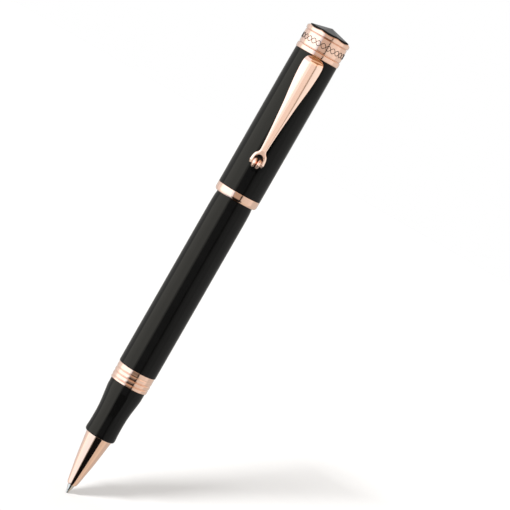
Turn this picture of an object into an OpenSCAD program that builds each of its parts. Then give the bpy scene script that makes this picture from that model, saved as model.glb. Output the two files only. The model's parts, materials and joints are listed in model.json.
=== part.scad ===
// Rollerball writing pen in black resin with rose gold trim, its cap pushed onto the rear
// of the barrel. The writing point stands at the origin and the pen runs up +Z to the
// faceted stone on the crown. The pocket clip, with its small roller, lies along -Y.

/* [Refill] */
// Radius of the writing ball
ball_r = 0.35; // [0.25:0.05:0.5]
// Radius of the straight metal tip where it leaves the nose cone
tip_r = 1.15; // [1.0:0.05:1.4]
// Radius of the refill's ink tube
refill_r = 3.0; // [2.8:0.05:3.2]
// Height of the refill's rear end, which is also its length
refill_len = 110.6; // [105:0.1:112]

/* [Section] */
// Height of the nose cone's small end
nose_z = 2.95; // [2.5:0.05:3.5]
// Height of the seam between the nose cone and the black grip
grip_z = 20.2; // [19:0.1:22]
// Height of the seam between the grip and the threaded ring
ring_z = 38.2; // [36:0.1:40]
// Radius of the grip at its top
grip_top_r = 5.75; // [5.4:0.05:5.8]

/* [Barrel] */
// Height of the barrel's front edge
barrel_z = 43.7; // [42:0.1:46]
// Radius of the straight barrel
barrel_r = 6.225; // [6.0:0.025:6.5]
// Height of the rear end of the barrel, inside the cap
tail_z = 124; // [120:0.5:128]
// Pitch of the thread that holds the cap when it is closed
cap_pitch = 1.5; // [1:0.1:2]

/* [Cap] */
// Height of the cap's lip when the cap is on the rear of the barrel
lip_z = 103.3; // [100:0.1:106]
// Outside radius of the cap
cap_r = 7.05; // [6.8:0.05:7.4]
// Height of the seam between the cap and the crown
crown_z = 152.6; // [150:0.1:155]
// Height of the stone's point, the top of the pen
apex_z = 162.3; // [160:0.1:165]

/* [Clip] */
// Distance of the clip's front face from the pen's axis
clip_out = 9.9; // [9.4:0.05:10.5]
// Greatest half width of the clip, at its shoulders
clip_half = 3.3; // [2.8:0.05:3.6]
// Radius of the roller at the end of the clip
roller_r = 1.78; // [1.5:0.02:2]
// Height of the roller's axle
roller_z = 116.5; // [115:0.1:119]

/* [Hidden] */
$fn = 72;
gap = 0.05;                           // running clearance between parts that move
liner_in = refill_r + 0.12;           // bore the refill slides in
liner_out = 3.9;
stem_core = 4.25;                     // root radius of the section's screw
stem_crest = 4.6;                     // crest radius of the section's screw
stem_pitch = 1.0;
stem_top = 48.5;
sleeve_in = stem_crest + 0.06;        // bore of the barrel's metal sleeve
sleeve_out = 5.34;
ring_root = 5.78;                     // root radius of the cap thread on the ring
ring_crest = 6.08;
insert_in = 5.85;                     // crest radius of the thread inside the cap
insert_root = 6.15;
cap_bore = 6.10;
cap_wall_in = 6.47;                   // bore of the black cap shell
cap_top_in = 148.6;                   // roof of the hollow inside the cap
spring_end = 116.0;
pin_y = -4.9;                         // the clip rocks about a pin at this Y and height
pin_z = 151.15;
pin_r = 0.5;
axle_r = 0.4;
axle_y = -(cap_r + roller_r + 0.03);  // the roller runs 0.03 mm clear of the cap
fork_in = 1.42;                       // half the gap between the fork's arms
face_c = 4.5;                         // the clip's front is rounded about this line, -Y
resin = [0.03, 0.03, 0.035];
gold = [0.92, 0.70, 0.58];
steel = [0.75, 0.76, 0.78];
brass = [0.80, 0.66, 0.35];
white = [0.92, 0.92, 0.90];

// Smooth curve through control points p, n steps between neighbours
function cr(a, b, c, d, t) = 0.5 * (2 * b + (c - a) * t + (2 * a - 5 * b + 4 * c - d) * t * t
                             + (3 * b - a - 3 * c + d) * t * t * t);
function spl(p, n) = [for (i = [0 : len(p) - 2], k = [0 : n - 1])
    cr(p[max(i - 1, 0)], p[i], p[i + 1], p[min(i + 2, len(p) - 1)], k / n), p[len(p) - 1]];
// Quarter round: centre (cx, cy), radius r, from angle a to angle b
function arc(cx, cy, r, a, b, n = 6) =
    [for (i = [0 : n]) [cx + r * cos(a + (b - a) * i / n), cy + r * sin(a + (b - a) * i / n)]];

// A ridge that winds round the Z axis: root radius r0, crest radius r1, half widths w0, w1.
// Its two ends taper away over half a turn. One turn is cut into seg straight lengths.
module helix(r0, r1, w0, w1, z0, pitch, turns, seg = 30) {
    n = ceil(turns * seg);
    fade = seg / 2;
    pts = [for (i = [0 : n])
        let (a = 360 * i / seg, z = z0 + pitch * i / seg,
             k = min(1, min(i, n - i) / fade + 0.02), r = r0 + (r1 - r0) * k)
        each [[r0 * cos(a), r0 * sin(a), z - w0], [r * cos(a), r * sin(a), z - w1],
              [r * cos(a), r * sin(a), z + w1], [r0 * cos(a), r0 * sin(a), z + w0]]];
    quads = [for (i = [0 : n - 1], k = [0 : 3])
        let (a = 4 * i + k, b = 4 * i + (k + 1) % 4)
        each (r1 < r0 ? [[a, a + 4, b], [b, a + 4, b + 4]] : [[a, b, a + 4], [b, b + 4, a + 4]])];
    ends = r1 < r0 ? [[0, 1, 2, 3], [4 * n + 3, 4 * n + 2, 4 * n + 1, 4 * n]]
                   : [[3, 2, 1, 0], [4 * n, 4 * n + 1, 4 * n + 2, 4 * n + 3]];
    polyhedron(points = pts, faces = concat(quads, ends), convexity = 8);
}
// A round wire of radius w wound about the Z axis at radius r
module coil(r, w, z0, z1, turns, seg = 20, sides = 6) {
    n = turns * seg;
    pts = [for (i = [0 : n])
        let (a = 360 * i / seg, e = min(1, min(i, n - i) / seg),
             z = z0 + (z1 - z0) * (i < n / 2 ? 0.5 * pow(2 * i / n, 1.15)
                                              : 1 - 0.5 * pow(2 * (n - i) / n, 1.15)))
        each [for (k = [0 : sides - 1]) let (b = 360 * k / sides, q = r + w * cos(b))
            [q * cos(a), q * sin(a), z + w * sin(b)]]];
    faces = [for (i = [0 : n - 1], k = [0 : sides - 1])
        let (a = sides * i + k, b = sides * i + (k + 1) % sides)
        each [[a, a + sides, b], [b, a + sides, b + sides]]];
    polyhedron(points = pts,
        faces = concat(faces, [[for (k = [0 : sides - 1]) k]],
                       [[for (k = [sides - 1 : -1 : 0]) sides * n + k]]), convexity = 8);
}
module tube(r1, r2, z0, z1) {
    rotate_extrude() translate([r1, z0]) square([r2 - r1, z1 - z0]);
}

// ---- refill ----
module ball() { color(steel) translate([0, 0, ball_r]) sphere(r = ball_r); }

module tip_socket() {
    color(steel) difference() {
        rotate_extrude() polygon([[0, 0.18], [0.38, 0.18], [0.41, 0.30], [0.60, 1.0],
            [0.66, 1.05], [1.10, 2.75], [tip_r, 2.95], [tip_r, 9], [0, 9]]);
        translate([0, 0, ball_r]) sphere(r = ball_r + 0.02);
        translate([0, 0, 0.4]) cylinder(r = 0.16, h = 4);
        translate([0, 0, 4]) cylinder(r = 0.6, h = 6);
    }
}
module refill_tip_holder() {
    color(white) rotate_extrude() polygon([[tip_r + 0.005, 7.2], [1.55, 7.2], [1.95, 10],
        [2.35, 14], [2.70, 18], [refill_r, 20.2], [refill_r, 22], [2.59, 22], [2.59, 26],
        [0.62, 26], [0.62, 9.05], [tip_r + 0.005, 9.05]]);
}
module refill_tube() { color(steel) tube(2.6, refill_r, 22, 109); }
module ink_wick() { color([0.85, 0.85, 0.9]) translate([0, 0, 4.1]) cylinder(r = 0.55, h = 30.9); }
module ink_reservoir() {
    color([0.10, 0.14, 0.45]) difference() {
        translate([0, 0, 29]) cylinder(r = 2.55, h = 76);
        translate([0, 0, 28]) cylinder(r = 0.56, h = 7.1);
    }
}
module refill_end_plug() {
    color(white) rotate_extrude() polygon([[0.4, 106.5], [2.59, 106.5], [2.59, 109],
        [refill_r, 109], [refill_r, refill_len - 0.4], [2.6, refill_len], [0.4, refill_len]]);
}

// ---- section: nose cone, grip and their screwed liner ----
module nose_cone() {
    outer = spl([[1.62, nose_z + 0.28], [1.75, 4.3], [2.13, 6.1], [2.46, 8], [2.80, 9.8],
                 [3.20, 12.3], [3.55, 14.7], [3.87, 17.2], [4.12, 19], [4.28, grip_z - 0.12],
                 [4.24, grip_z - 0.02]], 3);
    color(gold) rotate_extrude() polygon(concat(
        [[tip_r + gap, nose_z + 0.05], [1.25, nose_z], [1.38, nose_z]],
        arc(1.38, nose_z + 0.25, 0.24, -75, -10, 4), outer,
        [[liner_out - 0.01, grip_z - 0.02], [liner_out - 0.01, 24.2], [liner_in, 24.2],
         [liner_in, 20.4], [2.80, 18], [2.45, 14], [2.05, 10], [1.63, 7.17], [tip_r + gap, 6.8]]));
}
module grip_section() {
    outer = spl([[grip_top_r, 36.2], [5.72, 35.4], [5.55, 34], [5.35, 32.5], [5.15, 31],
                 [5.0, 29.5], [4.90, 28], [4.85, 25.6], [4.89, 23.2], [4.97, 21.9],
                 [5.015, 21.2], [4.96, 20.75], [4.78, 20.4], [4.5, grip_z]], 4);
    color(resin) rotate_extrude() polygon(concat([[liner_out, grip_z], [liner_out, ring_z - 0.02],
        [grip_top_r - 0.06, ring_z - 0.02], [grip_top_r, ring_z - 0.12]], outer));
}
module section_liner() {
    color(brass) union() {
        rotate_extrude() polygon([[liner_in, 24.22], [liner_out - 0.01, 24.22],
            [liner_out - 0.01, ring_z - 0.02], [stem_core, ring_z - 0.02],
            [stem_core, stem_top - 0.4], [stem_core - 0.4, stem_top], [liner_in, stem_top]]);
        helix(stem_core - 0.15, stem_crest, 0.42, 0.10, 39.9, stem_pitch, 7.5);
    }
}
module section_seal() { color([0.1, 0.1, 0.1]) tube(sleeve_in, sleeve_out - 0.03, ring_z, 38.7); }

// ---- barrel ----
module thread_ring() {
    color(gold) union() {
        rotate_extrude() polygon([[sleeve_out + 0.02, ring_z], [ring_root - 0.12, ring_z],
            [ring_root, ring_z + 0.12], [ring_root, 41.15], [5.95, 41.3], [6.02, 41.38],
            [6.05, 41.5], [6.05, barrel_z - 0.12], [6.0, barrel_z], [sleeve_out + 0.02, barrel_z]]);
        rotate([0, 0, 110]) helix(ring_root - 0.16, ring_crest, 0.55, 0.12, 38.8, cap_pitch, 1.9, 36);
    }
}
module barrel_shell() {
    rear = spl([[barrel_r, 98], [barrel_r - 0.03, 100], [6.14, 101.6], [5.97, lip_z],
                [5.80, 105.6], [5.72, 109], [5.60, 114], [5.42, 119], [5.36, 119.8]], 4);
    color(resin) rotate_extrude() polygon(concat([[sleeve_out + 0.02, barrel_z],
        [barrel_r - 0.14, barrel_z], [barrel_r - 0.04, barrel_z + 0.06],
        [barrel_r, barrel_z + 0.2]], rear,
        [[5.32, 120], [4.4, 120], [4.4, 60.1], [sleeve_out + 0.02, 60.1]]));
}
module barrel_liner() {
    color(brass) rotate_extrude() polygon([[sleeve_in, 38.75], [sleeve_out, 38.75],
        [sleeve_out, 60], [4.4, 60], [4.4, 49.2], [sleeve_in, 49.2]]);
}
module tail_plug() {
    dome = spl([[5.32, 120.02], [5.25, 120.9], [4.9, 122.1], [4.0, 123.1], [2.5, 123.75],
                [0, tail_z]], 4);
    color(resin) rotate_extrude() polygon(concat([[0, 116.85], [4.38, 116.85],
        [4.38, 120.02]], dome));
}
module refill_spring() {
    color(steel) coil(1.9, 0.22, refill_len + 0.24, spring_end - 0.24, 5);
}
module spring_cup() {
    color(brass) rotate_extrude() polygon([[0, spring_end], [3.5, spring_end], [3.5, 112.6],
        [4.38, 112.6], [4.38, 116.8], [0, 116.8]]);
}

// ---- cap ----
module cap_lip_ring() {
    color(gold) rotate_extrude() polygon(concat([[cap_bore, lip_z + 2.7],
        [cap_bore, lip_z + 0.2], [cap_bore + 0.2, lip_z]],
        arc(cap_r - 0.55, lip_z + 0.55, 0.55, -90, 0, 8),
        [[cap_r, lip_z + 2.6], [cap_r - 0.1, lip_z + 2.7]]));
}
module cap_thread_insert() {
    color(brass) union() {
        tube(insert_root, 6.45, lip_z + 2.72, 113);
        helix(insert_root + 0.14, insert_in, 0.55, 0.12, 107.0, cap_pitch, 3);
    }
}
module inner_cap() {
    color([0.12, 0.12, 0.12]) difference() {
        translate([0, 0, 113.02]) cylinder(r = 6.45, h = 36.5);
        translate([0, 0, 112]) cylinder(r = cap_bore, h = cap_top_in - 112);
        translate([0, 0, 148]) cylinder(r = 1.56, h = 3);
    }
}
module cap_shell() {
    color(resin) difference() {
        rotate_extrude() polygon([[cap_wall_in, lip_z + 2.72], [cap_r - 0.1, lip_z + 2.72],
            [cap_r, lip_z + 2.82], [cap_r + 0.02, 130], [cap_r - 0.02, 148],
            [cap_r - 0.04, crown_z - 0.12], [cap_r - 0.14, crown_z - 0.02],
            [cap_wall_in, crown_z - 0.02]]);
        translate([-1.6, -9, 149.9]) cube([3.2, 6, 5]);
    }
}
module clip_carrier() {
    color(brass) difference() {
        translate([0, 0, 149.56]) cylinder(r = 6.45, h = crown_z - 0.02 - 149.56);
        translate([0, 0, 149]) cylinder(r = 1.56, h = 5);
        translate([-1.56, -9, 149.9]) cube([3.12, 9 + pin_y + 1.2, 5]);
        translate([-3.5, pin_y, pin_z]) rotate([0, 90, 0]) cylinder(r = pin_r, h = 7);
    }
}
module clip_pin() {
    color(steel) translate([-3.48, pin_y, pin_z]) rotate([0, 90, 0]) cylinder(r = pin_r, h = 6.96);
}

// ---- clip ----
// Half width of the clip against height, from its top to the ends of its fork
clip_edge = concat(arc(1.6, 150.5, 1.7, 90, 8, 8),
    spl([[clip_half, 150.1], [clip_half, 149.2], [3.27, 147], [3.12, 144], [2.70, 140],
         [2.28, 136.5], [1.94, 132.7], [1.60, 129], [1.30, 125], [1.13, 121.8],
         [1.16, 120.7], [1.48, 120.0], [1.98, 119.4], [2.32, 118.5], [2.47, 117.5],
         [2.50, 116.8], [2.42, 116.2]], 3),
    arc(1.95, 116.15, 0.5, 0, -90, 5), arc(1.75, 115.98, 0.33, -90, -180, 4));
module clip_arm() {
    front = spl([[8.1, 152.3], [8.85, 151.95], [9.4, 151.35], [9.72, 150.4], [9.86, 149],
                 [clip_out, 147], [clip_out, 130], [clip_out, 117]], 4);
    back = spl([[7.2, 152.4], [7.22, 151.4], [7.45, 150.2], [7.9, 149], [8.3, 147.8],
                [8.48, 146], [8.5, 140], [8.5, 126], [8.35, 122], [8.05, 119.5],
                [7.95, 117]], 3);
    left = [for (i = [len(clip_edge) - 1 : -1 : 0]) [-clip_edge[i][0], clip_edge[i][1]]];
    color(gold) difference() {
        union() {
            difference() {
                intersection() {
                    translate([0, -6, 0]) rotate([90, 0, 0]) linear_extrude(5)
                        polygon(concat(clip_edge, left));
                    translate([0, -face_c, 0]) rotate_extrude() polygon(concat([[0, 152.3]],
                        [for (q = front) [q[0] - face_c, q[1]]],
                        [[clip_out - face_c, 115], [0, 115]]));
                }
                rotate_extrude() polygon(concat([[0, 153]], [[7.2, 153]], back,
                    [[7.95, 114], [0, 114]]));
            }
            translate([-1.5, -8.2, 150.1]) cube([3, 8.2 + pin_y, 2.1]);
            translate([-1.5, pin_y, pin_z]) rotate([0, 90, 0]) cylinder(r = 1.05, h = 3);
        }
        translate([-2, pin_y, pin_z]) rotate([0, 90, 0]) cylinder(r = pin_r + 0.06, h = 4);
        translate([0, -6, 0]) rotate([90, 0, 0]) linear_extrude(6) union() {
            translate([0, 117.75]) circle(r = fork_in);
            translate([-fork_in, 114]) square([2 * fork_in, 3.75]);
        }
        translate([-2.2, axle_y, roller_z]) rotate([0, 90, 0]) cylinder(r = axle_r, h = 4.4);
    }
}
module clip_roller() {
    half = spl([[1.34, 0], [1.40, 0.14], [1.58, 0.30], [1.72, 0.50], [roller_r, 0.76],
                [1.73, 1.0], [1.55, 1.22], [1.2, 1.35]], 3);
    other = [for (i = [len(half) - 1 : -1 : 1]) [half[i][0], -half[i][1]]];
    color(gold) translate([0, axle_y, roller_z]) rotate([0, 90, 0])
        rotate_extrude() polygon(concat([[axle_r + gap, 1.35], [axle_r + gap, -1.35]],
                                        other, half));
}
module roller_axle() {
    color(steel) translate([-2.19, axle_y, roller_z]) rotate([0, 90, 0])
        cylinder(r = axle_r, h = 4.38);
}

// ---- crown ----
module crown_lower_ring() {
    color(gold) rotate_extrude() polygon(concat([[5.52, crown_z]], [[6.85, crown_z]],
        arc(6.88, crown_z + 0.30, 0.30, -90, 0, 5), [[7.20, crown_z + 0.8]],
        arc(6.88, crown_z + 1.30, 0.30, 0, 75, 5),
        [[6.82, crown_z + 1.68], [6.82, crown_z + 1.8], [5.52, crown_z + 1.8]]));
}
module crown_band() {
    color(gold) rotate_extrude() polygon([[5.52, crown_z + 1.82], [6.82, crown_z + 1.82],
        [6.98, crown_z + 1.98], [7.02, crown_z + 3.9], [6.98, crown_z + 5.92],
        [6.82, crown_z + 6.08], [5.52, crown_z + 6.08]]);
}
module crown_top_ring() {
    z = crown_z + 6.1;
    color(gold) difference() {
        rotate_extrude() polygon(concat([[5.2, z]], [[6.8, z], [6.8, z + 0.12]],
            arc(6.85, z + 0.5, 0.3, -80, 0, 5), [[7.18, z + 0.9]],
            arc(6.86, z + 1.43, 0.32, 0, 85, 5),
            [[6.56, z + 1.73], [6.45, z + 1.6], [6.45, z + 0.4], [5.2, z + 0.4]]));
        for (k = [0 : 7]) rotate([0, 0, 45 * k]) translate([3, 0, z + 1.40 + 10.4])
            rotate([0, 90, 0]) cylinder(r = 10.4, h = 6);
    }
}
module crown_core() {
    color(brass) difference() {
        translate([0, 0, crown_z]) cylinder(r = 5.5, h = 6.06);
        translate([0, 0, crown_z - 1]) cylinder(r = 1.5, h = 5.4);
    }
}
module crown_stud() { color(steel) translate([0, 0, 147.45]) cylinder(r = 1.48, h = 9.5); }
module crown_nut() {
    color(brass) difference() {
        translate([0, 0, 147.5]) cylinder(r = 2.9, h = 1.08, $fn = 6);
        translate([0, 0, 147]) cylinder(r = 1.49, h = 3);
    }
}
module crown_gem() {
    z = crown_z + 6.52;
    rise = apex_z - 159;
    color([0.05, 0.05, 0.055]) intersection() {
        translate([0, 0, z]) cylinder(r = 6.43, h = 6);
        translate([0, 0, 159]) rotate([0, 0, 22.5])
            cylinder(r1 = rise / 0.248 / cos(22.5), r2 = 0, h = rise, $fn = 8);
    }
}

ball();
tip_socket();
refill_tip_holder();
refill_tube();
ink_wick();
ink_reservoir();
refill_end_plug();
nose_cone();
grip_section();
section_liner();
section_seal();
thread_ring();
barrel_shell();
barrel_liner();
tail_plug();
refill_spring();
spring_cup();
cap_shell();
cap_lip_ring();
cap_thread_insert();
inner_cap();
clip_carrier();
clip_pin();
clip_arm();
clip_roller();
roller_axle();
crown_lower_ring();
crown_band();
crown_top_ring();
crown_core();
crown_stud();
crown_nut();
crown_gem();
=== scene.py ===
# %% [markdown]
# # A rollerball pen in black resin and rose gold
#
# This lesson dresses a finished CAD pen for a studio picture. The pen stands on its
# writing point at the origin and runs straight up +Z. Its cap sits on the rear of the
# barrel and the pocket clip faces -Y. The CAD says where every piece is and how it moves.
# Here the pieces that show are made again in finer mesh and given their finishes. They
# could be drawn from nothing, but then they would not move and fit as the CAD does.

# %% Open the frame
import json
import math

import bmesh
import bpy
from mathutils import Matrix, Vector


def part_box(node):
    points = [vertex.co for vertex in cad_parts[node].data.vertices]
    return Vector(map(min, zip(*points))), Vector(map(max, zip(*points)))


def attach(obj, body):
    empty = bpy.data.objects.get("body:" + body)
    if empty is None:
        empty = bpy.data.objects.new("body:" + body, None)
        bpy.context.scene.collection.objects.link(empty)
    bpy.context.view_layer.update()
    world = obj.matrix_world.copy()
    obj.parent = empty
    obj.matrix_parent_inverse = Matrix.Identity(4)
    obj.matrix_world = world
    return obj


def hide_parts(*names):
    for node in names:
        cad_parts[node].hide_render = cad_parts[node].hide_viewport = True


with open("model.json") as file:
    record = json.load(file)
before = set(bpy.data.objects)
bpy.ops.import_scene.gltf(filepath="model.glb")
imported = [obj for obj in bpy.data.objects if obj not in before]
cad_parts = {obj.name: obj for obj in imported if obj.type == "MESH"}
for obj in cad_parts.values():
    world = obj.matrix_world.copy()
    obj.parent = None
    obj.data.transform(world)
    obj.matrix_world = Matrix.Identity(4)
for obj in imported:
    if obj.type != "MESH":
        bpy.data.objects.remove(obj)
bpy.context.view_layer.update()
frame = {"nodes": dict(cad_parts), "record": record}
MM = 0.001
pen_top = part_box("crown_gem")[1].z
print("pen stands", round(pen_top / MM, 1), "mm tall, in", len(frame["nodes"]), "pieces")

# %% [markdown]
# ## Where the seams are
#
# A pen is a stack of turned parts, so one list of seam heights ties everything together.
# The heights could be typed in again from a drawing. Reading them from the frame is safer,
# because a pen made a little longer still fits its finishes.

# %% Seam heights and radii, in millimetres
def seam(node, end):
    """Height in mm of the bottom (end 0) or the top (end 1) of a CAD piece."""
    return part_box(node)[end].z / MM


def side(node):
    """Outside radius in mm of a CAD piece that is round about the pen's axis."""
    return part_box(node)[1].x / MM


def middle(node):
    """Middle of a CAD piece's box, in mm."""
    low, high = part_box(node)
    return [(low[n] + high[n]) / 2 / MM for n in range(3)]


nose_z = seam("nose_cone", 0)
grip_z = seam("grip_section", 0)
ring_z = seam("thread_ring", 0)
barrel_z = seam("barrel_shell", 0)
lip_z = seam("cap_lip_ring", 0)
shell_z = seam("cap_shell", 0)
crown_z = seam("crown_lower_ring", 0)
band_z = seam("crown_band", 0)
crest_z = seam("crown_top_ring", 0)
apex_z = seam("crown_gem", 1)
print("seams at", [round(z, 2) for z in (nose_z, grip_z, ring_z, barrel_z, lip_z, crown_z)])

# %% [markdown]
# ## Smooth outlines
#
# The side of a pen has no straight corners: one curve runs into the next. A spline object
# could draw it, but a few points and a formula are easier to read and to change. The curve
# passes through every point it is given, so each number is a real radius and height.

# %% Smooth outlines
def curve_through(points, steps=6):
    """Points on a smooth curve that passes through all the given points."""
    out = []
    for i in range(len(points) - 1):
        a, b = points[max(i - 1, 0)], points[i]
        c, d = points[i + 1], points[min(i + 2, len(points) - 1)]
        for k in range(steps):
            t = k / steps
            out.append(tuple(
                0.5 * (2 * b[n] + (c[n] - a[n]) * t
                       + (2 * a[n] - 5 * b[n] + 4 * c[n] - d[n]) * t * t
                       + (3 * b[n] - a[n] - 3 * c[n] + d[n]) * t ** 3) for n in (0, 1)))
    return out + [points[-1]]


def rounded(centre_r, centre_z, radius, start, end, steps=8):
    """A quarter round or any other arc of an outline, by its centre and two angles."""
    turns = [math.radians(start + (end - start) * k / steps) for k in range(steps + 1)]
    return [(centre_r + radius * math.cos(t), centre_z + radius * math.sin(t)) for t in turns]


def above(base, points):
    """(value, height) points whose heights are given from a base height."""
    return [(value, base + up) for value, up in points]


print("a quarter round has", len(rounded(0, 0, 1, 0, 90)), "points")

# %% [markdown]
# ## A finer lathe
#
# Almost everything on a pen is turned. The real parts come off a lathe, and so do these:
# an outline in radius and height is swung round the Z axis. A Screw modifier could do the
# same, but this way the optional `shape` function may push a point in or out by its angle,
# which is how a thread or a scalloped edge is cut without leaving the lathe. Polished black
# shows every flat in its reflections, so there are many steps round.

# %% The lathe
def finish_mesh(name, bm, crease=32):
    """Turns a bmesh into an object with smooth faces and sharp corners."""
    bmesh.ops.remove_doubles(bm, verts=bm.verts, dist=1e-8)
    bmesh.ops.recalc_face_normals(bm, faces=bm.faces)
    mesh = bpy.data.meshes.new(name)
    bm.to_mesh(mesh)
    bm.free()
    mesh.shade_smooth()
    mesh.set_sharp_from_angle(angle=math.radians(crease))
    piece = bpy.data.objects.new(name, mesh)
    bpy.context.scene.collection.objects.link(piece)
    return piece


long_run, end_gap = 0.7, 0.04


def supported(outline):
    """Adds a point close to each end of every long straight run, in mm. That keeps the
    run's shading flat right up to the rounded corners."""
    line = [outline[0]]
    for (r0, z0), (r1, z1) in zip(outline, outline[1:]):
        run = math.hypot(r1 - r0, z1 - z0)
        if run > long_run:
            line += [(r0 + (r1 - r0) * t, z0 + (z1 - z0) * t)
                     for t in (end_gap / run, 1 - end_gap / run)]
        line.append((r1, z1))
    return line


def lathe(name, outline, around=160, shape=None, crease=32):
    """Swings an outline of (radius, height) in mm round Z. It closes on itself unless
    it starts and ends on the axis."""
    bm = bmesh.new()
    rings = []
    for r, z in supported(outline):
        ring = []
        for k in range(1 if r < 1e-6 else around):
            turn = 2 * math.pi * k / around
            rr, zz = (r, z) if shape is None else shape(r, z, turn)
            ring.append(bm.verts.new((rr * math.cos(turn) * MM, rr * math.sin(turn) * MM,
                                      zz * MM)))
        rings.append(ring)
    pairs = list(zip(rings, rings[1:]))
    if outline[0][0] > 1e-6 and outline[-1][0] > 1e-6:
        pairs.append((rings[-1], rings[0]))
    for low, high in pairs:
        for k in range(around):
            n = (k + 1) % around
            corners = [low[k % len(low)], low[n % len(low)], high[n % len(high)],
                       high[k % len(high)]]
            corners = list(dict.fromkeys(corners))
            if len(corners) > 2:
                bm.faces.new(corners)
    return finish_mesh(name, bm, crease)


print("the lathe supports straight runs over", long_run, "mm")

# %% [markdown]
# ## What a finish is made of
#
# Nothing on a real pen is one flat colour. Even mirror polish has a faint ripple, hair
# lines from the buffing wheel and patches that shine a little more or less. A painted
# texture could hold them, but it blurs up close and needs unwrapping. Noise in the piece's
# own space does neither, and it moves with the piece.

# %% Noise, wear and bumps
def noise(tree, place, scale, detail, stretch=(1, 1, 1)):
    """A noise value. stretch is the number of cycles per metre along each axis."""
    spread = tree.nodes.new("ShaderNodeMapping")
    spread.inputs["Scale"].default_value = stretch
    tree.links.new(place.outputs["Object"], spread.inputs["Vector"])
    field = tree.nodes.new("ShaderNodeTexNoise")
    field.inputs["Scale"].default_value = scale
    field.inputs["Detail"].default_value = detail
    tree.links.new(spread.outputs["Vector"], field.inputs["Vector"])
    return field.outputs["Fac"]


def worn_roughness(tree, slow, lines, rough):
    """Half the slow patches and half the hair lines, spread between two roughnesses."""
    half = tree.nodes.new("ShaderNodeMath")
    half.operation = "MULTIPLY"
    half.inputs[1].default_value = 0.5
    tree.links.new(slow, half.inputs[0])
    both = tree.nodes.new("ShaderNodeMath")
    both.operation = "MULTIPLY_ADD"
    both.inputs[1].default_value = 0.5
    tree.links.new(lines, both.inputs[0])
    tree.links.new(half.outputs[0], both.inputs[2])
    spread = tree.nodes.new("ShaderNodeMapRange")
    for socket, value in (("From Min", 0.3), ("From Max", 0.7), ("To Min", rough[0]),
                          ("To Max", rough[1])):
        spread.inputs[socket].default_value = value
    tree.links.new(both.outputs[0], spread.inputs["Value"])
    return spread.outputs[0]


def stacked_bumps(tree, heights):
    """One bump laid on another, from pairs of a height value and its depth in metres."""
    last = None
    for height, depth in heights:
        bump = tree.nodes.new("ShaderNodeBump")
        bump.inputs["Distance"].default_value = depth
        tree.links.new(height, bump.inputs["Height"])
        if last:
            tree.links.new(last.outputs["Normal"], bump.inputs["Normal"])
        last = bump
    return last.outputs["Normal"]


print("a finish has patches, hair lines and tool rings to draw on")

# %% [markdown]
# ## One recipe
#
# Each finish is a small node tree: a slow noise moves the colour, a stretched noise lays
# hair lines along or round the pen into the roughness, and both lift the surface by a few
# thousandths of a millimetre. Thirteen separate trees would drift apart, so one function
# makes them all. Values that are the same all over stay on the shader.

# %% One recipe for every finish
def finish(name, colours, rough, metallic=0.0, patch=400, hair=(9000, 9000, 500),
           lift=2e-6, hair_lift=2e-7, turned=0, turned_lift=3e-6, ior=1.5, sheen=0.0,
           shine=0.5):
    """A procedural finish. colours and rough are (low, high) pairs, patch and hair are
    sizes in cycles per metre, and turned adds that many tool rings per metre along Z."""
    mat = bpy.data.materials.new(name)
    mat.use_nodes = True
    tree = mat.node_tree
    shader = tree.nodes["Principled BSDF"]
    for socket, value in (("Metallic", metallic), ("IOR", ior), ("Sheen Weight", sheen),
                          ("Specular IOR Level", shine)):
        shader.inputs[socket].default_value = value
    place = tree.nodes.new("ShaderNodeTexCoord")
    slow, lines = noise(tree, place, patch, 4), noise(tree, place, 1.0, 3, hair)
    blend = tree.nodes.new("ShaderNodeMix")
    blend.data_type = "RGBA"
    blend.inputs[6].default_value = (*colours[0], 1)
    blend.inputs[7].default_value = (*colours[1], 1)
    tree.links.new(slow, blend.inputs[0])
    tree.links.new(blend.outputs[2], shader.inputs["Base Color"])
    tree.links.new(worn_roughness(tree, slow, lines, rough), shader.inputs["Roughness"])
    heights = [(slow, lift), (lines, hair_lift)]
    if turned:
        rings = tree.nodes.new("ShaderNodeTexWave")
        rings.wave_type, rings.bands_direction = "BANDS", "Z"
        for socket, value in (("Scale", turned / 20 * math.pi), ("Distortion", 0.6),
                              ("Detail", 1)):
            rings.inputs[socket].default_value = value
        tree.links.new(place.outputs["Object"], rings.inputs["Vector"])
        heights.append((rings.outputs["Fac"], turned_lift))
    tree.links.new(stacked_bumps(tree, heights), shader.inputs["Normal"])
    return mat


print("one recipe serves every finish")

# %% [markdown]
# ## The finishes of this pen
#
# Black resin is a deep polished plastic. Rose gold is gold with copper in it, laid thinly
# on brass, and the writing point is bare nickel silver. Each could have a preset of its
# own, but the same recipe with other colours keeps them related: every pair of colours is
# close together, because polish is nearly even. Each CAD piece then takes the finish that
# its material slot asks for, hidden ones too, since they show when the pen is opened.

# %% The finishes of this pen
black_resin = finish("black_resin", [(0.0014, 0.0014, 0.0014), (0.0030, 0.0029, 0.0027)],
                     (0.08, 0.13), patch=260)
rose_gold = finish("rose_gold", [(0.935, 0.685, 0.575), (0.905, 0.645, 0.53)],
                   (0.07, 0.13), metallic=1.0, patch=700, lift=8e-7)
nickel_silver = finish("nickel_silver", [(0.70, 0.70, 0.68), (0.60, 0.60, 0.59)],
                       (0.16, 0.26), metallic=1.0, patch=1500, turned=9000, turned_lift=1.5e-6)
carbide = finish("carbide", [(0.42, 0.42, 0.43), (0.30, 0.30, 0.31)], (0.12, 0.3),
                 metallic=1.0, patch=9000, hair=(30000, 30000, 30000))
black_stone = finish("black_stone", [(0.0040, 0.0040, 0.0044), (0.0085, 0.0083, 0.0080)],
                     (0.03, 0.07), patch=500, lift=4e-7, ior=1.54)
plain_brass = finish("plain_brass", [(0.80, 0.60, 0.30), (0.70, 0.50, 0.22)], (0.22, 0.38),
                     metallic=1.0, patch=600, turned=6000)
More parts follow.
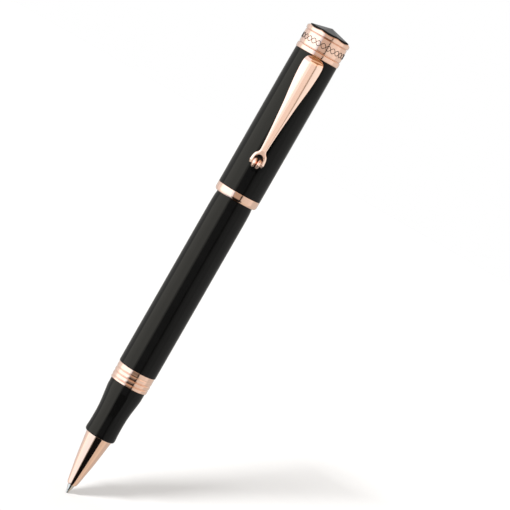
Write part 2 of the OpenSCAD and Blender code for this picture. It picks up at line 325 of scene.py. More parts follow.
spring_steel = finish("spring_steel", [(0.56, 0.56, 0.57), (0.46, 0.46, 0.47)],
                      (0.2, 0.34), metallic=1.0, patch=2500)
drawn_tube = finish("drawn_tube", [(0.72, 0.73, 0.74), (0.64, 0.65, 0.66)], (0.25, 0.36),
                    metallic=1.0, patch=900, hair=(14000, 14000, 120), hair_lift=6e-7)
clear_plastic = finish("refill_plastic", [(0.86, 0.86, 0.84), (0.78, 0.78, 0.75)],
                       (0.35, 0.5), patch=700)
black_plastic = finish("black_plastic", [(0.004, 0.004, 0.004), (0.009, 0.009, 0.008)],
                       (0.4, 0.55), patch=1500, lift=5e-6, shine=0.15)
soft_rubber = finish("seal_rubber", [(0.012, 0.012, 0.012), (0.022, 0.021, 0.020)],
                     (0.6, 0.8), patch=3000, lift=8e-6, sheen=0.2)
pale_fibre = finish("fibre", [(0.86, 0.86, 0.90), (0.66, 0.66, 0.72)], (0.8, 0.95),
                    patch=4000, hair=(16000, 16000, 500), lift=3e-5, hair_lift=2e-5, sheen=0.4)
inked_fibre = finish("ink_fibre", [(0.010, 0.016, 0.09), (0.03, 0.05, 0.22)], (0.45, 0.8),
                     patch=4000, hair=(16000, 16000, 500), lift=3e-5, hair_lift=2e-5)
by_slot = {
    "black_resin": black_resin, "rose_gold": rose_gold, "nickel_silver": nickel_silver,
    "carbide": carbide, "black_stone": black_stone, "plain_brass": plain_brass,
    "spring_steel": spring_steel, "refill_tube_metal": drawn_tube,
    "refill_plastic": clear_plastic, "black_plastic": black_plastic,
    "seal_rubber": soft_rubber, "fibre": pale_fibre, "ink_fibre": inked_fibre}
slot_of = {s["node"]: s["material_slot"] for s in frame["record"]["subparts"]}
body_of = {n: b for b, ns in frame["record"]["behaviour"]["bodies"].items() for n in ns}
for node_name, node in frame["nodes"].items():
    node.data.materials.clear()
    node.data.materials.append(by_slot[slot_of[node_name]])
print("finishes made:", len(by_slot))

# %% [markdown]
# ## Hanging a new piece on the pen
#
# A new piece has to know three things: which moving body carries it, which CAD piece it
# stands for and which finish it wears. Parenting each one by hand would do, but a wrong
# parent shows only when the pen moves, so one function reads all three from the CAD
# piece's name. The CAD piece stays in the simulation, unseen.

# %% Put a piece in its CAD piece's place
def stand_for(piece, node_name, material=None):
    """Gives piece its CAD piece's body, slot and finish, and hides the CAD piece."""
    slot = slot_of[node_name]
    piece.data.materials.clear()
    piece.data.materials.append(material or by_slot[slot])
    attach(piece, body_of[node_name])
    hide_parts(node_name)
    print(piece.name, "has", len(piece.data.polygons), "faces")
    return piece


print("pieces can ride on", sorted(set(body_of.values())))

# %% [markdown]
# ## Cutting and joining
#
# The clip and the cap's slot need more than a lathe. A slot in real metal is milled, and a
# boolean is the same thing: a tool shape is taken out of the piece and thrown away. Drawing
# the cut edges by hand would take longer and fit less well.

# %% Cutting tools
def apply_modifiers(piece):
    """Makes the result of a piece's modifiers its real mesh."""
    graph = bpy.context.evaluated_depsgraph_get()
    made = bpy.data.meshes.new_from_object(piece.evaluated_get(graph))
    old = piece.data
    piece.modifiers.clear()
    piece.data = made
    bpy.data.meshes.remove(old)


def carve(piece, tool, how="DIFFERENCE"):
    """Cuts tool out of piece, or joins it on, and throws the tool away."""
    step = piece.modifiers.new("carve", "BOOLEAN")
    step.object, step.operation, step.solver = tool, how, "EXACT"
    apply_modifiers(piece)
    bpy.data.objects.remove(tool)
    print(piece.name, "after", how.lower(), "has", len(piece.data.polygons), "faces")


def block(name, low, high):
    """A plain block between two corners in mm, used only as a cutting tool."""
    bm = bmesh.new()
    bmesh.ops.create_cube(bm, size=1)
    for v in bm.verts:
        v.co = Vector([(low[n] + high[n]) / 2 + v.co[n] * (high[n] - low[n])
                       for n in range(3)]) * MM
    return finish_mesh(name, bm)


def across_rod(name, radius, y, z, half_length, around=64):
    """A rod along X, in mm, as a cutting tool."""
    rod = lathe(name, [(0.0, -half_length), (radius, -half_length), (radius, half_length),
                       (0.0, half_length)], around=around)
    rod.data.transform(Matrix.Translation(Vector((0, y * MM, z * MM)))
                       @ Matrix.Rotation(math.pi / 2, 4, "Y"))
    return rod


print("tools ready: block and rod")

# %% [markdown]
# ## The writing point
#
# A carbide ball under a millimetre across sits in a turned nickel silver socket whose rim
# is rolled in so that the ball cannot fall out. The socket is stepped: a steep little cone,
# then the cone that shows under the nose. A plain cone would pass from afar, but the two
# steps and the fine tool rings are what catch the light close up, so both are turned.

# %% Ball and socket
ball_r = side("ball")
ball = lathe("writing_ball", [(max(0.0, ball_r * math.sin(math.pi * k / 20)),
             ball_r - ball_r * math.cos(math.pi * k / 20)) for k in range(21)], around=48)
stand_for(ball, "ball")
tip_r, tip_top = side("tip_socket"), seam("tip_socket", 1)
rolled_rim = [(0.33, 0.185), (0.37, 0.18), (0.40, 0.22), (0.42, 0.32)]
two_cones = [(0.60, 1.0), (0.625, 1.03), (0.64, 1.08), (0.68, 1.15), (1.07, 2.6),
             (tip_r - 0.02, 2.82), (tip_r, 3.0), (tip_r, tip_top)]
ink_way = [(0.6, tip_top), (0.6, 4.0), (0.16, 3.9), (0.16, 0.72), (0.30, 0.58), (0.37, 0.35)]
point = lathe("metal_point", rolled_rim + two_cones + ink_way, around=96, crease=40)
stand_for(point, "tip_socket")

# %% [markdown]
# ## The nose cone
#
# The rose gold cone that holds the point swells a little before it meets the grip. Its
# small end is rounded over so that it doesn't scratch paper. A straight cone would look
# stamped: the swelling is what bends the reflections, so its side is one curve. It is
# hollow, and the refill can be pushed back into it, so it is turned inside as well.

# %% Nose cone
spigot_r, refill_bore, spigot_top = 3.88, 3.13, seam("nose_cone", 1) - 0.01
nose_outer = curve_through(above(nose_z, [
    (1.25, 0.015), (1.35, 0.07), (1.47, 0.20), (1.58, 0.45), (1.67, 0.75), (1.75, 1.10),
    (1.86, 1.60), (2.13, 3.15), (2.46, 5.05), (2.80, 6.85), (3.20, 9.35), (3.55, 11.75),
    (3.87, 14.25)]) + above(grip_z, [(4.12, -1.2), (4.27, -0.16), (4.25, -0.03)]), 8)
nose_inside = [(spigot_r, grip_z - 0.02), (spigot_r, spigot_top), (refill_bore, spigot_top)]
nose_inside += above(grip_z, [(refill_bore, 0.2), (2.80, -2.2), (2.45, -6.2), (2.05, -10.2),
                              (1.63, -13.03), (1.20, -13.4)])
nose = lathe("nose_cone_shell", [(1.20, nose_z + 0.05)] + nose_outer + nose_inside,
             around=176, crease=28)
stand_for(nose, "nose_cone")

# %% [markdown]
# ## The grip
#
# Fingers sit in the waist of the grip. It is black resin like the barrel, flared at the
# front so that they don't slide onto the metal, and it widens again to meet the ring. A
# subdivided cylinder would give a waist too, but never quite this one. The curve is drawn
# from the ring downwards, because the ring sets its largest radius.

# %% Grip section
grip_r, grip_top, edge_round = side("grip_section"), ring_z - 0.02, 0.09
waist = above(ring_z, [(grip_r, -2.0), (5.72, -2.8), (5.55, -4.2), (5.35, -5.7), (5.15, -7.2),
                       (5.0, -8.7), (4.90, -10.2), (4.85, -12.6), (4.89, -15.0),
                       (4.97, -16.3)])
front_flare = above(grip_z, [(5.015, 1.0), (4.97, 0.5), (4.80, 0.15), (4.55, 0.01)])
grip = lathe("grip", [(spigot_r + 0.03, grip_z), (spigot_r + 0.03, grip_top),
                      (grip_r - edge_round, grip_top)]
             + rounded(grip_r - edge_round, grip_top - edge_round, edge_round, 90, 0, 5)
             + curve_through(waist + front_flare, 8), around=192, crease=40)
stand_for(grip, "grip_section")

# %% [markdown]
# ## The threaded ring
#
# The closed cap screws onto this ring. It carries a coarse right-handed thread with soft
# round crests and narrow valleys, and a plain polished band above it. Stacked rings would
# look like a thread only from one side. A real thread climbs as it goes round, so here the
# valley's height is the angle round the pen times the pitch. It runs out gently where the
# plain band begins.

# %% Threaded ring
pitch, crest_r, band_r, thread_from_r, ring_bore = 1.45, 6.08, 6.05, 5.9, 5.36
valley, gentle, steep, crest_soft = 0.21, 0.36, 0.25, 0.03
first_valley, plain_z, run_out = ring_z, ring_z + 4.3, 0.5


def thread(r, z, turn):
    """Presses the thread's valley into the outside of the ring. The side that faces up
    slopes gently and the side that faces down is steep."""
    if r < thread_from_r:
        return r, z
    along = (z - first_valley) / pitch - turn / (2 * math.pi)
    away = (along - round(along)) * pitch
    reach = min(1.0, abs(away) / (steep if away > 0 else gentle))
    depth = valley * (1 + math.cos(math.pi * reach)) / 2
    depth += crest_soft * (1 + math.cos(2 * math.pi * along)) / 2
    return r - depth * min(1.0, max(0.0, (plain_z - z) / run_out)), z


ring_side = [(crest_r, ring_z + 0.16 + 0.035 * k) for k in range(119)]
ring = lathe("threaded_ring", [(ring_bore, ring_z), (thread_from_r, ring_z)]
             + rounded(crest_r - 0.15, ring_z + 0.15, 0.15, -80, -10, 6) + ring_side
             + [(band_r, plain_z + 0.15), (band_r, barrel_z - 0.14), (6.03, barrel_z - 0.04),
                (5.98, barrel_z), (ring_bore, barrel_z)], around=240, shape=thread, crease=45)
stand_for(ring, "thread_ring")

# %% [markdown]
# ## The barrel
#
# The barrel is a plain black tube, so all its character is in how evenly it is polished
# and in how it draws in towards the rear to enter the cap. A stretched cylinder would give
# the tube but not the rear, so it is turned in one go, bore and all. The rear end is a
# separate domed plug that shows only once the cap is taken off.

# %% Barrel and tail plug
barrel_r, barrel_end, bore_r = side("barrel_shell"), seam("barrel_shell", 1), 4.4
liner_top = seam("barrel_liner", 1) + 0.1
barrel_rear = curve_through(above(lip_z, [
    (barrel_r, -5.3), (barrel_r - 0.03, -3.3), (6.14, -1.7), (5.97, 0.0), (5.80, 2.3),
    (5.72, 5.7), (5.60, 10.7), (5.42, 15.7), (5.36, 16.5)]), 8)
barrel = lathe("barrel", [(ring_bore, barrel_z), (barrel_r - 0.16, barrel_z)]
               + rounded(barrel_r - 0.16, barrel_z + 0.16, 0.16, -80, 0, 6)
               + [(barrel_r, barrel_z + k * 6.0) for k in range(1, 9)] + barrel_rear
               + [(5.32, barrel_end), (bore_r, barrel_end), (bore_r, liner_top),
                  (ring_bore, liner_top)], around=224, crease=40)
stand_for(barrel, "barrel_shell")
plug_r, plug_foot, tail_z = bore_r - 0.02, seam("tail_plug", 0), seam("tail_plug", 1)
dome_line = curve_through(above(barrel_end, [(5.30, 0.03), (5.25, 0.9), (4.9, 2.1), (4.0, 3.1),
                                             (2.5, 3.75)]) + [(0.0, tail_z)], 8)
tail = lathe("tail_dome", [(0.0, plug_foot), (plug_r, plug_foot), (plug_r, barrel_end + 0.02)]
             + dome_line, around=128)
stand_for(tail, "tail_plug")

# %% [markdown]
# ## The lip ring
#
# A rose gold ring finishes the cap's mouth and keeps the resin from splitting. A torus
# would be too round. The ring's face is straight, and only its lower corner is rolled over
# in a wide ellipse, which gives it a bright upper half and a darker lower edge.

# %% Lip ring
bore, mouth_round, roll_in, roll_up = 6.10, 0.22, 0.7, 1.1
cap_r = side("cap_lip_ring")
lip = lathe("cap_lip", [(bore, lip_z + 2.69), (bore, lip_z + mouth_round)]
            + rounded(bore + mouth_round, lip_z + mouth_round, mouth_round, 180, 270, 5)
            + [(cap_r - roll_in + roll_in * across, lip_z + roll_up + roll_up * up)
               for across, up in rounded(0, 0, 1, -90, 0, 18)]
            + [(cap_r, lip_z + 2.5)] + rounded(cap_r - 0.1, lip_z + 2.59, 0.1, 0, 90, 4),
            around=208, crease=40)
stand_for(lip, "cap_lip_ring")

# %% [markdown]
# ## The cap shell
#
# The cap is a black resin tube. At the top it has a slot for the clip's tongue, milled
# after the turning, and it is made in that order here: first the lathe, then the cut. The
# cut leaves new faces, so the soft and sharp edges are marked again afterwards.

# %% Cap shell
shell_top, wall_in, slot_half = seam("cap_shell", 1), 6.47, 1.6
cap = lathe("cap_tube", [(wall_in, shell_z)]
            + rounded(cap_r - 0.1, shell_z + 0.1, 0.1, -90, 0, 4)
            + [(cap_r + 0.01, shell_z + k * 5.0) for k in range(1, 9)]
            + rounded(cap_r - 0.14, shell_top - 0.1, 0.1, 0, 90, 4) + [(wall_in, shell_top)],
            around=224, crease=40)
carve(cap, block("slot_tool", (-slot_half, -9.0, crown_z - 2.7),
                 (slot_half, -3.0, crown_z + 1.4)))
cap.data.shade_smooth()
cap.data.set_sharp_from_angle(angle=math.radians(40))
stand_for(cap, "cap_shell")

# %% [markdown]
# ## The clip's outline
#
# The clip is a casting: broad rounded shoulders under the crown, a long taper, and a fork
# that curls round a little roller. Its front is crowned across like a slice of a larger
# cylinder and its back follows the cap. Pulling a box into that shape by eye would be
# guesswork. Instead four lines give its half width, front, back and crowning at each
# height. The shoulders are measured from the clip's top and the fork from the axle.

# %% Clip outline
axle_y, axle_z = middle("clip_roller")[1:]
clip_low, clip_high = seam("clip_arm", 0) + 0.25, seam("clip_arm", 1) + 0.05
face_y = 9.88
edge = curve_through(above(clip_high, [
    (2.05, 0.0), (2.62, -0.40), (3.02, -1.05), (3.22, -2.05), (3.26, -3.05), (3.21, -5.25),
    (3.00, -8.25), (2.56, -12.25), (2.15, -15.75), (1.82, -19.55), (1.50, -23.25),
    (1.20, -27.25)]) + above(axle_z, [
        (1.03, 5.3), (1.04, 4.25), (1.30, 3.55), (1.86, 2.95), (2.22, 2.0), (2.36, 1.0),
        (2.39, 0.4), (2.33, -0.1)]) + [(2.15, clip_low + 0.05)], 4)
front = curve_through(above(clip_high, [
    (8.2, 0.05), (8.9, -0.23), (9.38, -0.75), (9.68, -1.55), (9.82, -2.55), (9.87, -3.95),
    (face_y, -5.25), (face_y, -12.25), (face_y, -22.25)]) + above(axle_z, [
        (face_y, 5.5), (9.82, 3.5), (9.64, 1.5), (9.45, -0.5), (9.36, -1.5)]), 8)
back = curve_through(above(clip_high, [
    (7.22, 0.15), (7.24, -0.85), (7.45, -2.05), (7.9, -3.25), (8.3, -4.45), (8.48, -6.25),
    (8.5, -12.25)]) + above(axle_z, [
        (8.5, 9.5), (8.35, 5.5), (8.05, 3.0), (7.95, 0.5), (7.95, -1.5)]), 10)
crown_radius = [(5.38, clip_high + 0.05)] + above(axle_z, [
    (5.38, 5.5), (8.0, 4.5), (16.0, 3.0), (20.0, 2.0), (20.0, -1.5)])


def at_height(line, z):
    """Reads a (value, height) line that runs downwards at height z."""
    for (a, za), (b, zb) in zip(line, line[1:]):
        if zb <= z <= za:
            return a + (b - a) * (za - z) / max(za - zb, 1e-9)
    return line[0][0] if z > line[0][1] else line[-1][0]


print("clip from", round(clip_low, 2), "to", round(clip_high, 2), "mm")

# %% [markdown]
# ## The clip's body
#
# The four lines are read at many heights, and each height gives one closed slice: the
# crowned front from side to side, then the back the other way. Joining the slices is a
# loft. A mesh made like this can be as fine as its curves need, which a sculpt can't be.

# %% Clip body in slices
across, count, fork_from = 36, 240, axle_z + 4.5
bm = bmesh.new()
slices = []
for i in range(count + 1):
    z = clip_high + (clip_low - clip_high) * i / count
    half, bend = at_height(edge, z), at_height(crown_radius, z)
    hub, rear_r = at_height(front, z) - bend, at_height(back, z)
    soft = 0.12 if z > fork_from else 0.34
    xs = [half * math.sin(math.pi / 2 * (2 * k / across - 1)) for k in range(across + 1)]
    outer = [(x, -hub - math.sqrt(bend ** 2 - x * x) + soft * abs(x / half) ** 7) for x in xs]
    inner = [(x, -math.sqrt(rear_r ** 2 - x * x)) for x in reversed(xs)]
    slices.append([bm.verts.new((x * MM, y * MM, z * MM)) for x, y in outer + inner])
for top, low in zip(slices, slices[1:]):
    for k in range(len(top)):
        n = (k + 1) % len(top)
        bm.faces.new((top[k], top[n], low[n], low[k]))
bm.faces.new(slices[0])
bm.faces.new(slices[-1])
clip = finish_mesh("pocket_clip", bm)
print(clip.name, "is lofted through", len(slices), "slices")

# %% [markdown]
# ## The fork, the tongue and soft corners
#
# On the real clip the gap of the fork is milled, a tongue at the back goes through the
# cap's slot to a pin, and polishing melts every corner. A bevel would stumble over so many
# cuts. A fine remesh with a little smoothing treats them all alike, as a polishing wheel
# does.

# %% Fork, tongue and soft corners
gap_half, arch_z = 1.42, axle_z + 1.25
arch = lathe("arch_tool", [(0.0, 5.0), (gap_half, 5.0), (gap_half, 13.0), (0.0, 13.0)],
             around=96)
arch.data.transform(Matrix.Translation(Vector((0, 0, arch_z * MM)))
                    @ Matrix.Rotation(math.pi / 2, 4, "X"))
carve(clip, arch)
carve(clip, block("fork_tool", (-gap_half, -13.0, axle_z - 4.5), (gap_half, -5.0, arch_z)))
eye_r, pin_r, tongue_half = 1.05, 0.58, 1.5
pin_y, pin_z = middle("clip_pin")[1:]
carve(clip, block("tongue_tool", (-tongue_half, -8.3, pin_z - eye_r),
                  (tongue_half, pin_y, pin_z + eye_r)), "UNION")
carve(clip, across_rod("eye_tool", eye_r, pin_y, pin_z, tongue_half), "UNION")
carve(clip, across_rod("pin_tool", pin_r, pin_y, pin_z, 3.0))
melt = clip.modifiers.new("melt", "REMESH")
melt.mode, melt.voxel_size = "VOXEL", 0.085 * MM
polish = clip.modifiers.new("polish", "SMOOTH")
polish.factor, polish.iterations = 0.5, 16
apply_modifiers(clip)
clip.data.shade_smooth()
stand_for(clip, "clip_arm")

# %% [markdown]
# ## The roller
#
# The roller lets the clip ride over thick cloth. It is a small spool with two round lobes
# and a groove between them, and it turns on an axle held by the fork's two arms. Two balls
# side by side would touch in a point. Turned as one outline, the lobes meet in a neck, and
# the same half outline serves both sides.

# %% Roller
lobe_end, axle_hole = 1.34, 0.45
lobe = curve_through([(0.80, 0.0), (1.10, 0.09), (1.46, 0.20), (1.70, 0.34), (1.78, 0.52),
                      (1.73, 0.76), (1.57, 1.00), (1.33, 1.22), (1.0, lobe_end)], 6)
roller = lathe("clip_roller_spool", [(axle_hole, lobe_end), (axle_hole, -lobe_end)]
               + [(r, -x) for r, x in reversed(lobe)] + lobe[1:], around=96, crease=50)
roller.data.transform(Matrix.Translation(Vector((0, axle_y * MM, axle_z * MM)))
                      @ Matrix.Rotation(math.pi / 2, 4, "Y"))
stand_for(roller, "clip_roller")

# %% [markdown]
# ## The crown
#
# Two polished beads hold a plain band between them. They are turned from three pieces of
# metal, and so they are here: one outline could hold all three, but the fine dark seams
# between them come from real gaps. The upper bead's rim dips between the corners of the
# stone in eight shallow scallops, which the lathe's shape function presses in.

# %% Crown beads and band
core_r, out_r = 5.52, 7.2
low_bead = lathe("crown_low_bead", [(core_r, crown_z), (6.84, crown_z)]
                 + rounded(6.84, crown_z + 0.34, 0.34, -90, 0, 8)
                 + above(crown_z, [(7.19, 0.6), (out_r, 0.9), (7.18, 1.2)])
                 + rounded(6.86, crown_z + 1.34, 0.32, 0, 80, 8)
                 + above(crown_z, [(6.80, 1.70), (6.80, 1.8), (core_r, 1.8)]),
                 around=208, crease=40)
stand_for(low_bead, "crown_lower_ring")
band_top = seam("crown_band", 1)
band = lathe("crown_belt", [(core_r, band_z), (6.82, band_z)]
             + rounded(6.86, band_z + 0.14, 0.13, -90, 0, 5)
             + [(7.0, band_z + 0.6), (7.015, band_z + 2.1), (7.0, band_top - 0.6)]
             + rounded(6.86, band_top - 0.14, 0.13, 0, 90, 5) + [(core_r, band_top)],
             around=208, crease=40)
stand_for(band, "crown_band")
dip, dip_from, dip_over = 0.36, 0.8, 0.9


def scallop(r, z, turn):
    """Lowers the top bead's rim in eight dips, one in front of each face of the stone."""
    high = min(1.0, max(0.0, (z - crest_z - dip_from) / dip_over))
    return r, z - high * dip * (math.sqrt(math.cos(4 * turn) ** 2 + 0.01) - 0.1)


top_bead = lathe("crown_top_bead", above(crest_z, [(5.2, 0.0), (6.78, 0.0), (6.80, 0.10)])
                 + rounded(6.86, crest_z + 0.46, 0.32, -80, 0, 8)
                 + above(crest_z, [(7.18, 0.7), (7.19, 0.9), (7.19, 1.1)])
                 + rounded(6.84, crest_z + 1.40, 0.35, 0, 88, 8)
                 + above(crest_z, [(6.60, 1.73), (6.47, 1.6), (6.45, 1.2), (6.45, 0.4),
                                   (5.2, 0.4)]), around=320, shape=scallop, crease=45)
stand_for(top_bead, "crown_top_ring")

# %% [markdown]
# ## The stone
#
# The stone is cut as a low pyramid with eight flat faces that meet in a point on the pen's
# axis, over a round girdle. An eight-sided cone would have straight sides and leave gaps
# in the round setting. Here the rim is round and its height falls as the flat faces do, so
# the faces stay flat and the corners stay sharp.

# %% The stone
stone_r, slope, facets, steps_each = 6.24, 0.248, 8, 14
seat_z, belt_z = seam("crown_gem", 0), crest_z + 0.9


def fall(turn):
    """How far the stone's edge lies below its point, in mm, at an angle round the pen."""
    off = (turn + math.pi / facets) % (2 * math.pi / facets) - math.pi / facets
    return stone_r * math.cos(off) * slope


bm = bmesh.new()
point_top = bm.verts.new((0, 0, apex_z * MM))
rim, belt, seat = [], [], []
steps = facets * steps_each
for k in range(steps):
    turn = 2 * math.pi * k / steps
    x, y = stone_r * math.cos(turn), stone_r * math.sin(turn)
    for edge_line, z in ((rim, apex_z - fall(turn)), (belt, belt_z), (seat, seat_z)):
        edge_line.append(bm.verts.new((x * MM, y * MM, z * MM)))
for k in range(steps):
    n = (k + 1) % steps
    bm.faces.new((point_top, rim[k], rim[n]))
    bm.faces.new((rim[k], belt[k], belt[n], rim[n]))
    bm.faces.new((belt[k], seat[k], seat[n], belt[n]))
bm.faces.new(seat)
stone = finish_mesh("crown_stone", bm, crease=6)
stand_for(stone, "crown_gem")

# %% [markdown]
# A thin black ring in the gap between the stone and the bead paints that gap's shade. A flat
# ring would stand clear of the stone at its corners. This one follows the edge of the stone up
# and down, so it is turned with a shape of its own, built on the stone's own fall.

# %% Painted shade ring in the stone's gap
gap_shade_foot = crest_z + 1.0


def gap_shade_shape(r, z, turn):
    """Lets the top of the painted shade ring follow the edge of the stone."""
    return (r, z - fall(turn)) if z > apex_z - 1 else (r, z)


gap_shade_ring = lathe("crown_gap_shade_ring", [(stone_r + 0.01, gap_shade_foot), (stone_r + 0.01, apex_z - 0.03),
                (stone_r + 0.08, apex_z - 0.01), (6.40, apex_z - 0.06), (6.44, apex_z - 0.16),
                (6.44, gap_shade_foot)], around=224, crease=50, shape=gap_shade_shape)
# The black finish on this ring is painted shade: it stands for the dark of the gap under the stone.
stand_for(gap_shade_ring, "crown_gem", black_plastic)

# %% [markdown]
# The band carries a running ornament of two crossing waves, engraved and filled with black.
# It could be a pattern in the material, but then it would be lost from the mesh. Each wave
# is a thin cord swept round the band, sunk to half its thickness.

# %% Engraved ornament
def wave_cord(bm, radius, mid_z, high, waves, phase, thick, around=416, sides=8):
    """Adds one closed cord, in mm, that rises and falls as it runs round the Z axis."""
    loops = []
    for k in range(around):
        turn = 2 * math.pi * k / around
        out = Vector((math.cos(turn), math.sin(turn), 0))
        path = out * radius + Vector((0, 0, mid_z + high * math.sin(waves * turn + phase)))
        run = Vector((-math.sin(turn) * radius, math.cos(turn) * radius,
                      high * waves * math.cos(waves * turn + phase))).normalized()
        sideways = run.cross(out)
        loops.append([bm.verts.new((path + (out * math.cos(a) + sideways * math.sin(a)) * thick) * MM)
                      for a in [2 * math.pi * j / sides for j in range(sides)]])
    for k in range(around):
        here, there = loops[k], loops[(k + 1) % around]
        for j in range(sides):
            i = (j + 1) % sides
            bm.faces.new((here[j], there[j], there[i], here[i]))


cord_r, wave_high, waves, cord_thick = 7.0, 0.8, 13, 0.10
bm = bmesh.new()
for phase in (0.0, math.pi):
    wave_cord(bm, cord_r, (band_z + band_top) / 2, wave_high, waves, phase, cord_thick)
scroll = finish_mesh("crown_scroll", bm, crease=180)
stand_for(scroll, "crown_band", black_plastic)

# %% [markdown]
# ## Studio
#
# A pen this glossy is really a picture of the room. A studio puts a tent of paper round
# such a thing, and here the pen stands in a tall ring of curved cards that only its
# reflections see. Flat cards would lie nearer in the middle than at their sides. On a ring
# each card is simply a range of angles, and its edge stays straight all the way up.

# %% Glowing card
def glow(name, strength, colour=(1, 1, 1)):
    """A material that only gives light."""
    mat = bpy.data.materials.new(name)
    mat.use_nodes = True
    tree = mat.node_tree
    tree.nodes.clear()
    emit = tree.nodes.new("ShaderNodeEmission")
    emit.inputs["Color"].default_value = (*colour, 1)
    emit.inputs["Strength"].default_value = strength
    out = tree.nodes.new("ShaderNodeOutputMaterial")
    tree.links.new(emit.outputs[0], out.inputs["Surface"])
    return mat


def hide_from(piece, *rays):
    """Makes a piece unseen by some kinds of light ray."""
    for ray in rays:
        setattr(piece, "visible_" + ray, False)


def mirror_only(piece, strength, colour):
    """Turns a piece into a light that only reflections see, and stages it."""
    piece.data.materials.append(glow(piece.name, strength, colour))
    hide_from(piece, "camera", "diffuse", "transmission", "volume_scatter", "shadow")


tent_r = 0.50


def card(name, start, end, low, high, strength, colour):
    """A curved card round the pen, from one angle to another (0 is the clip's side and
    90 is +X), between two heights in metres. An angle may also be a function of height,
    which gives the card a slanting edge."""
    bm = bmesh.new()
    rows, cols = 12, 30
    grid = []
    for j in range(rows + 1):
        z = low + (high - low) * j / rows
        a0, a1 = [v(z) if callable(v) else v for v in (start, end)]
        line = [math.radians(a0 + (a1 - a0) * k / cols) for k in range(cols + 1)]
        grid.append([bm.verts.new((tent_r * math.sin(a), -tent_r * math.cos(a), z))
                     for a in line])
    for here, over in zip(grid, grid[1:]):
        for k in range(cols):
            bm.faces.new((here[k], here[k + 1], over[k + 1], over[k]))
    mirror_only(finish_mesh(name, bm), strength, colour)


print("the tent is", tent_r, "m in radius")

# %% [markdown]
# ## What the resin sees
#
# Black resin shows a wide pale window down its left, a dark slot towards the camera and a
# dimmer sheet on its right. One card with a painted picture could hold them all, but
# separate cards are easier to move. The window's near edge leans a little, and the sheet's
# draws back towards the foot, so that both follow the pen's taper. A warm roof and lid show
# in the grooves that face upwards, and a dark foot keeps light out from below.

# %% Reflection cards
def ease(value, low, high):
    """0 below low, 1 above high and a straight line between."""
    return min(1.0, max(0.0, (value - low) / (high - low)))


def window_edge(z):
    """The window's near edge. It leans away from the camera at the top and at the foot."""
    return -19.0 - 3.0 * ease(z, -0.03, 0.17) - 1.5 * ease(-z, 0.08, 0.18)


def window_blur(z):
    """Where the window's full light begins, past its softer edge."""
    return window_edge(z) - 8


def sheet_edge(z):
    """The near edge of the sheet on the right."""
    return 31.5 + 7.0 * ease(-z, 0.05, 0.20)


white, daylight, pale = (1, 1, 1), (1.0, 0.975, 0.88), (1.0, 0.985, 0.95)
sill_colour, lid_colour = (1.0, 0.8, 0.65), (0.44, 0.24, 0.11)
roof_z, top_z, break_z, sill_z, foot_z = 1.2, 0.30, -0.09, -0.5, -1.5
cards = [
    ("window_far", -62, -102, sill_z, top_z, 0.98, daylight),
    ("window_near", window_blur, -62, sill_z, top_z, 0.92, daylight),
    ("window_soft_edge", window_edge, window_blur, sill_z, top_z, 0.45, daylight),
    ("window_sill", window_edge, -106, foot_z, sill_z, 0.15, sill_colour),
    ("slot_front", window_edge, 19, break_z, top_z, 0.078, white),
    ("slot_line", 19, 27, break_z, top_z, 0.0, white),
    ("slot_front_low", window_edge, sheet_edge, foot_z, break_z, 0.006, white),
    ("sheet_soft_edge", 27, 33, break_z, top_z, 0.10, pale),
    ("sheet_near", 33, 45, break_z, top_z, 0.19, pale),
    ("sheet_near_low", sheet_edge, 45, foot_z, break_z, 0.25, pale),
    ("sheet_middle", 45, 70, foot_z, top_z, 0.24, pale),
    ("sheet_far", 70, 150, foot_z, top_z, 0.31, pale),
    ("back_right", 150, 180, foot_z, top_z, 0.62, pale),
    ("back_middle", 180, 206, foot_z, top_z, 0.50, pale),
    ("back_left", 206, 258, foot_z, top_z, 0.42, pale),
    ("back_high", 150, 258, top_z, roof_z, 0.50, white),
    ("warm_lid", -102, 150, top_z, roof_z, 1.0, lid_colour)]
for row in cards:
    card(*row)
for name, z, strength in (("warm_roof", roof_z, 1.0), ("dark_foot", foot_z, 0.1)):
    bm = bmesh.new()
    round_way = [math.radians(t) for t in range(0, 360, 6)]
    bm.faces.new([bm.verts.new((tent_r * math.cos(t), tent_r * math.sin(t), z))
                  for t in round_way])
    mirror_only(finish_mesh(name, bm), strength, lid_colour)
print(len(cards), "cards, a roof and a foot")

# %% [markdown]
# ## What the metal sees
#
# The metal wants more light from every side than the resin can take: with brighter cards
# the black would turn grey. Light linking solves it, as a lamp can be tied to a group of
# pieces. One group is all the turned metal. The other is the clip with its roller, which
# stands further out and needs a light of its own.

# %% Lamps for the metal only
def lit_group(name, pieces):
    """A group of pieces that a lamp can be tied to."""
    group = bpy.data.collections.new(name)
    bpy.context.scene.collection.children.link(group)
    for piece in pieces:
        group.objects.link(piece)
    return group


turned = lit_group("turned_metal", [nose, ring, lip, low_bead, band, top_bead, point, ball])
casting = lit_group("clip_and_roller", [clip, roller])
first_inset, next_inset = 0.985, 0.0015


def metal_lamp(number, name, start, end, low, high, luminance, group, colour):
    """A flat lamp just inside the cards, between two angles, that lights only a group.
    Each lamp stands a little nearer than the last, so that no two lie in one plane."""
    half = math.radians(abs(end - start) / 2)
    a = math.radians((start + end) / 2)
    r = tent_r * math.cos(half) * first_inset - next_inset * number
    lamp = bpy.data.lights.new(name, "AREA")
    lamp.shape, lamp.size, lamp.size_y = "RECTANGLE", 2 * r * math.tan(half), high - low
    lamp.energy = luminance * math.pi * lamp.size * lamp.size_y
    lamp.color = colour
    holder = bpy.data.objects.new(name, lamp)
    spot = Vector((r * math.sin(a), -r * math.cos(a), (low + high) / 2))
    holder.location = spot
    holder.rotation_euler = Vector((spot.x, spot.y, 0)).to_track_quat("Z", "Y").to_euler()
    holder.visible_camera = False
    bpy.context.scene.collection.objects.link(holder)
    holder.light_linking.receiver_collection = group


